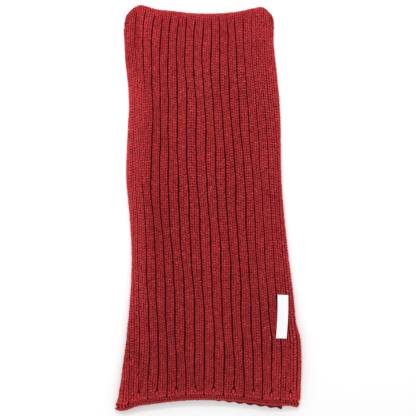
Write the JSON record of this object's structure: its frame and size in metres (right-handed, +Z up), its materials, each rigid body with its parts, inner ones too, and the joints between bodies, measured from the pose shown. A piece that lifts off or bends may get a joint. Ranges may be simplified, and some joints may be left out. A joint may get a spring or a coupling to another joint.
{
  "type": "knit scarf",
  "caption": "Long rib-knit scarf folded once across its length and laid flat, with rolled side edges and a woven label beside one edge.",
  "frame": {"origin": "under the middle of the folded scarf, on the surface it lies on", "axes": "+X across the scarf, +Y along it towards the fold, -Y towards the two free ends, +Z up off the surface"},
  "size_m": [0.338, 0.7498, 0.016],
  "materials": {
    "front_panel": "bulky rib knit in bright red heathered wool, matt and slightly hairy",
    "back_panel": "the same rib knit, on the lower layer",
    "fold": "the same rib knit, turned over",
    "front_hem": "chained cast-on edge in the same wool",
    "back_hem": "wavy cast-off edge in the same wool",
    "label": "white satin-woven tape with folded ends, left bare"
  },
  "bodies": {
    "root": {"front_panel": "front_panel", "back_panel": "back_panel", "fold": "fold", "front_hem": "front_hem", "back_hem": "back_hem", "label": "label"}
  },
  "joints": []
}
